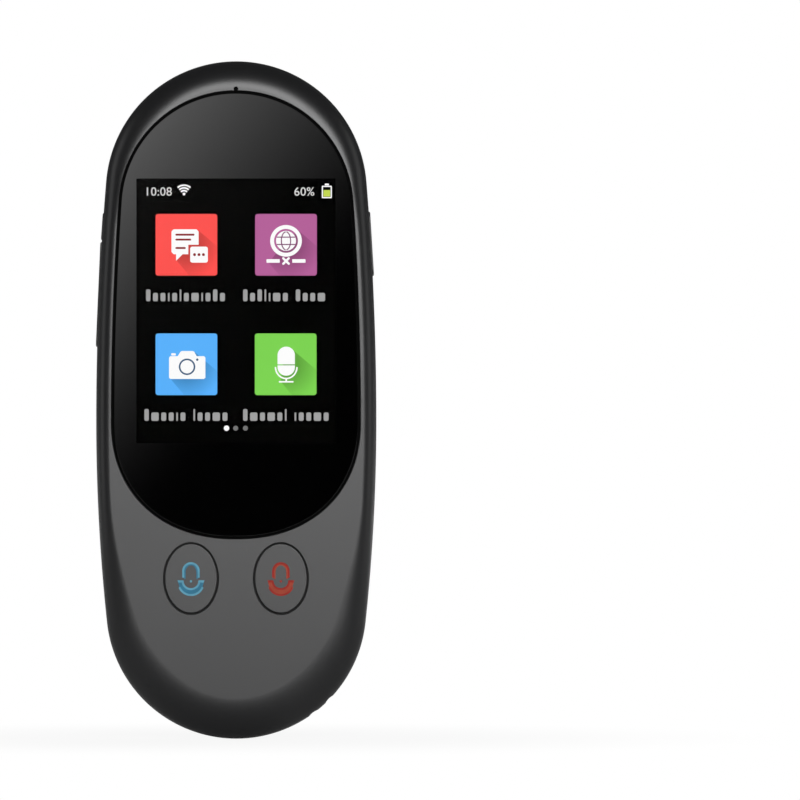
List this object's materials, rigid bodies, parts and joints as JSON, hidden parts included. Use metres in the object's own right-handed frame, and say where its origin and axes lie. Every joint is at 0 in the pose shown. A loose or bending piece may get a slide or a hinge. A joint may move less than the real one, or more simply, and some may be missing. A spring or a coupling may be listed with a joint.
{
  "type": "handheld translator",
  "caption": "Slim pebble-shaped handheld translator with an egg-shaped glass front over a screen, oval talk keys, side keys, a rear ring-pattern speaker grille and a rear camera.",
  "frame": {"origin": "middle of the body's length, width and thickness", "axes": "+Z along the body towards the microphone end, +X to the right as the screen is read, +Y out of the back; the screen faces -Y"},
  "size_m": [0.0518, 0.014, 0.125],
  "materials": {
    "shell": "dark grey plastic with a soft satin paint",
    "cover_glass": "polished cover glass printed black behind",
    "foam": "black adhesive foam",
    "panel": "dark screen panel",
    "white_plastic": "white reflector frame",
    "amber_film": "amber film ribbon",
    "steel": "bright tinned steel",
    "rubber": "matt black silicone",
    "circuit_board": "green solder mask",
    "cell_foil": "dull silver pouch foil",
    "black_plastic": "matt black plastic",
    "bright_ring": "polished trim ring",
    "grey_plastic": "dark grey lens barrel",
    "lens_glass": "coated camera lens",
    "copper": "copper film"
  },
  "bodies": {
    "case": {"front_case": "shell", "rear_cover": "shell", "screen_glass": "cover_glass", "glass_tape": "foam", "screen_gasket": "foam", "screen_panel": "panel", "backlight_unit": "white_plastic", "screen_flex": "amber_film", "talk_switch_left": "steel", "talk_switch_right": "steel", "talk_key_pad": "rubber", "power_switch": "steel", "function_switch": "steel", "volume_up_switch": "steel", "volume_down_switch": "steel", "main_board": "circuit_board", "board_screw_1": "steel", "board_screw_2": "steel", "board_screw_3": "steel", "board_screw_4": "steel", "processor_shield": "steel", "radio_shield": "steel", "charger_shield": "steel", "battery": "cell_foil", "battery_tape": "foam", "battery_pad": "foam", "speaker_frame": "black_plastic", "speaker_magnet": "steel", "speaker_cone": "black_plastic", "speaker_gasket": "foam", "dust_mesh": "black_plastic", "camera_ring": "bright_ring", "camera_hood": "black_plastic", "camera_barrel": "grey_plastic", "camera_lens": "lens_glass", "camera_body": "black_plastic", "microphone": "steel", "microphone_boot": "rubber", "socket_shell": "steel", "socket_tongue": "black_plastic", "aerial_film": "copper"},
    "talk_left": {"talk_key_left": "shell"},
    "talk_right": {"talk_key_right": "shell"},
    "power": {"power_key": "shell"},
    "function": {"function_key": "shell"},
    "volume": {"volume_key": "shell"}
  },
  "joints": [
    {"name": "talk_left_press", "type": "slide", "parent": "case", "child": "talk_left", "axis": [0, 1, 0], "range_m": [0, 0.00035], "stiffness_N_per_m": 800},
    {"name": "talk_right_press", "type": "slide", "parent": "case", "child": "talk_right", "axis": [0, 1, 0], "range_m": [0, 0.00035], "stiffness_N_per_m": 800},
    {"name": "power_press", "type": "slide", "parent": "case", "child": "power", "axis": [-0.9981, 0, -0.0611], "range_m": [0, 0.0003], "stiffness_N_per_m": 600},
    {"name": "function_press", "type": "slide", "parent": "case", "child": "function", "axis": [0.9978, 0, -0.067], "range_m": [0, 0.0003], "stiffness_N_per_m": 600},
    {"name": "volume_rock", "type": "hinge", "parent": "case", "child": "volume", "pos_m": [-0.02319, -0.0007, 0.01938], "axis": [0, 1, 0], "range_deg": [-1, 1], "stiffness_Nm_per_rad": 0.04}
  ]
}
